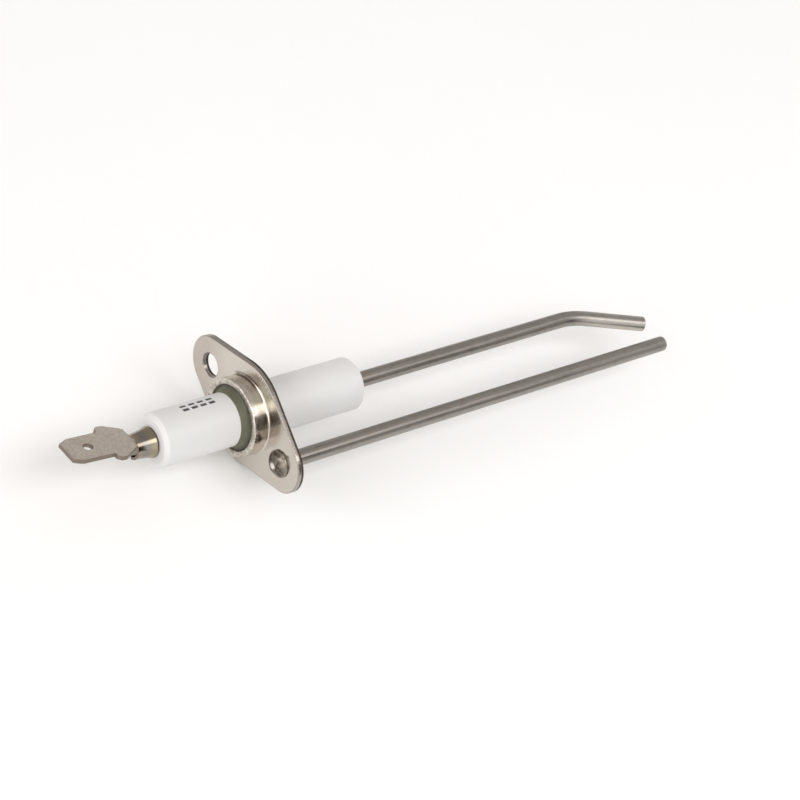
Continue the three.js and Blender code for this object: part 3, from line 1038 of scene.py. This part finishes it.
def tab_terminal():
    flat = Surface()
    profile = [
        (height - BLADE_THICKNESS / 2, inset)
        for height, inset in edge_profile(BLADE_THICKNESS, TAB_ROLLOVER, TAB_BURR_EDGE)
    ]

    def place(point, height):
        return (point.x, point.y, -height)

    detent = circle(TIP - DETENT_FROM_TIP, 0, DETENT_RADIUS, DETENT_SIDES)
    outline = sheet_edge(flat, stamping_outline(), False, profile, place, 1)
    hole = sheet_edge(flat, detent, True, profile, place, 1)
    flat.fill([outline[0], hole[0]])
    flat.fill([outline[1], hole[1]])

    stamping = bmesh.new()
    corners = [stamping.verts.new(p) for p in flat.points]
    for face, finish in zip(flat.faces, flat.finishes):
        stamping.faces.new([corners[i] for i in face]).material_index = finish
    wing = math.pi * BARREL_MID_RADIUS
    cut_into_strips(stamping, (0, 1, 0), -wing, wing, STRIP_ACROSS)
    cut_into_strips(stamping, (1, 0, 0), -BARREL_LENGTH, NECK_FORMED, STRIP_ALONG)
    cut_into_strips(stamping, (1, 0, 0), TIP - LEAD_IN_LENGTH, TIP, STRIP_LEAD_IN)
    bmesh.ops.remove_doubles(stamping, verts=stamping.verts, dist=1e-4)
    stamping.verts.index_update()

    formed = Surface()
    turn = Euler((TERMINAL_ROLL, 0, 0)).to_matrix()
    formed.points = [turn @ rolled(*v.co) for v in stamping.verts]
    for face in stamping.faces:
        formed.add_face([v.index for v in face.verts], face.material_index)
    stamping.free()
    piece(
        "stamped_tab",
        formed,
        "tab_terminal",
        [tab_metal(), tab_sheared_edge()],
    )


# ---------------------------------------------------------------------------------------------
# Floor, light and camera


def floor():
    """A pale matte floor under the flange's lower edge."""
    look = Look("pale_floor")
    tint = look.noise(30, detail=2)
    look.colour(look.mix(tint, rgb(0.925, 0.925, 0.925), rgb(0.94, 0.94, 0.94)))
    look.roughness(0.9)
    reach = 3.0  # metres from the middle to each side
    mesh = bpy.data.meshes.new("pale_floor")
    z = cad_bounds[0][2]
    corners = [(-reach, -reach, z), (reach, -reach, z), (reach, reach, z), (-reach, reach, z)]
    mesh.from_pydata(corners, [], [(0, 1, 2, 3)])
    mesh.materials.append(look.material)
    ground = bpy.data.objects.new("pale_floor", mesh)
    bpy.context.scene.collection.objects.link(ground)


def soft_box(name, direction, distance, width, height, radiance, colour):
    """An area light, in metres, that faces the object from a direction."""
    light = bpy.data.lights.new(name, "AREA")
    light.shape = "RECTANGLE"
    light.size, light.size_y = width, height
    light.energy = radiance * math.pi * width * height
    light.color = colour
    holder = bpy.data.objects.new(name, light)
    holder.location = Vector(direction).normalized() * distance
    holder.rotation_euler = (-holder.location).to_track_quat("-Z", "Y").to_euler()
    bpy.context.scene.collection.objects.link(holder)


# Zones of the surroundings. Each pair is where a zone is gone and where it is full, on one
# component of the direction.
FAR_END_X = (0.74, 0.84)
NEAR_END_X = ((-0.72, -0.82), (-0.96, -0.90))
FRONT_ABS_X, FRONT_Y = (0.34, 0.24), (-0.25, -0.40)
DARK_ABS_X = ((0.24, 0.32), (0.63, 0.59))
DARK_Y, DARK_Z = (-0.46, -0.56), (0.66, 0.58)


def studio_world():
    """Warm grey surroundings: white at the tips' end, with a white ring round the terminal's end,
    and on the -Y side a pale middle between two dark patches."""
    world = bpy.data.worlds.new("studio")
    world.use_nodes = True
    graph = Graph(world.node_tree)
    direction = graph.nodes.new("ShaderNodeTexCoord").outputs["Generated"]
    x, y, z = graph.parts(direction)
    abs_x = graph.math("ABSOLUTE", x)

    near_end = graph.product(*(graph.spread(x, *edge) for edge in NEAR_END_X))
    front = graph.product(graph.spread(abs_x, *FRONT_ABS_X), graph.spread(y, *FRONT_Y))
    dark = graph.product(
        graph.spread(y, *DARK_Y),
        graph.spread(z, *DARK_Z),
        *(graph.spread(abs_x, *edge) for edge in DARK_ABS_X),
    )
    tone = rgb(0.54, 0.515, 0.49)
    for zone, colour in (
        (graph.spread(x, *FAR_END_X), rgb(1.7, 1.7, 1.7)),
        (near_end, rgb(4.0, 4.0, 4.0)),
        (front, rgb(1.3, 1.3, 1.3)),
        (dark, rgb(0.04, 0.035, 0.03)),
    ):
        tone = graph.mix(zone, tone, colour)
    graph.feed(graph.nodes["Background"].inputs["Color"], tone)
    bpy.context.scene.world = world


LENS, SENSOR = 108.0, 36.0
CAMERA_AT = (-234.08, -190.36, 308.0)
CAMERA_TURN = (42.738, -19.717, -35.155)  # degrees


def camera():
    data = bpy.data.cameras.new("camera")
    data.lens = LENS
    data.sensor_width = SENSOR
    data.clip_start = 0.01
    holder = bpy.data.objects.new("camera", data)
    turn = Euler([math.radians(angle) for angle in CAMERA_TURN])
    holder.matrix_world = Matrix.LocRotScale(Vector(CAMERA_AT) * MM, turn, None)
    bpy.context.scene.collection.objects.link(holder)
    bpy.context.scene.camera = holder


# ---------------------------------------------------------------------------------------------
# Everything together

camera()
studio_world()
floor()
soft_box(
    "overhead_strip",
    direction=(0.0, -0.54, 0.84),
    distance=0.5,
    width=0.7,
    height=0.235,
    radiance=2.15,
    colour=(1.0, 0.99, 0.965),
)
bpy.context.scene.view_settings.view_transform = "Standard"

rod_look = rod_alloy()
plug_look = white_cement()
mounting_flange()
ceramic_insulator()
collar_cement()
bore_plug("terminal_end_plug", "bore_cement_terminal_end", plug_look)
bore_plug("tip_end_plug", "bore_cement_tip_end", plug_look)
spark_rod(rod_look)
earth_rod(rod_look)
tab_terminal()
